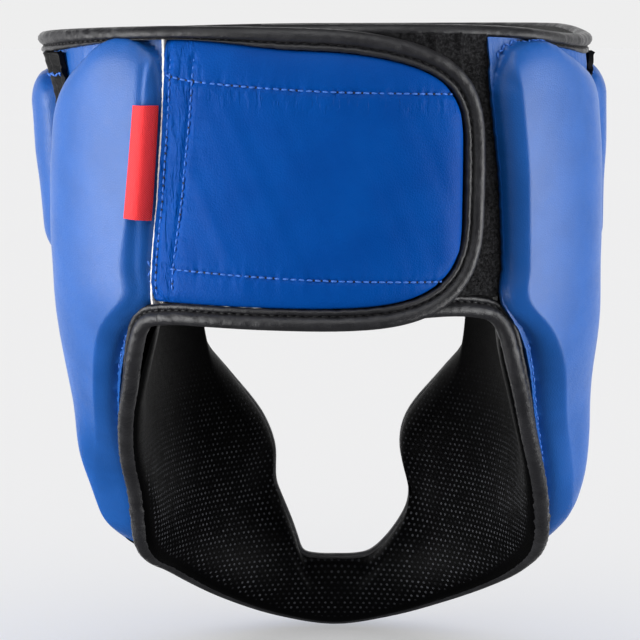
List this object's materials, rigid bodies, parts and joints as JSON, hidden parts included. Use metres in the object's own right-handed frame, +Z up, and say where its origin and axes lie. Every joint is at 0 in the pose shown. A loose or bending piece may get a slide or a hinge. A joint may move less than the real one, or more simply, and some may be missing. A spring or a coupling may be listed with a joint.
{
  "type": "padded head guard",
  "caption": "Padded leather head guard with an open crown, closed chin, cheek pads, perforated lining and a wide hook-and-loop strap across the back.",
  "frame": {"origin": "middle of the crown opening, in the plane of the top rim, where the guard is seated on the head", "axes": "+Z up through the crown opening, +Y out of the face opening, +X to the wearer's right"},
  "size_m": [0.2336, 0.2444, 0.2688],
  "materials": {
    "lining": "matt black perforated lining",
    "pad_leather": "smooth satin blue leather",
    "strap_leather": "fine-grained satin blue leather",
    "binding": "satin black folded binding",
    "gusset": "black gathered cloth",
    "loop_tape": "black fuzzy loop tape",
    "cut_edge": "pale raw cut edge",
    "label": "bare red woven tab"
  },
  "bodies": {
    "root": {"lining": "lining", "brow_pad": "pad_leather", "chin_pad": "pad_leather", "left_rear_pad": "pad_leather", "right_rear_pad": "pad_leather", "left_cheek_pad": "pad_leather", "right_cheek_pad": "pad_leather", "left_gusset": "gusset", "right_gusset": "gusset", "closure_strap": "strap_leather", "strap_binding": "binding", "rim_binding": "binding", "neck_binding": "binding", "face_binding": "binding", "loop_patch": "loop_tape", "seam_edge": "cut_edge", "label_tab": "label"}
  },
  "joints": []
}
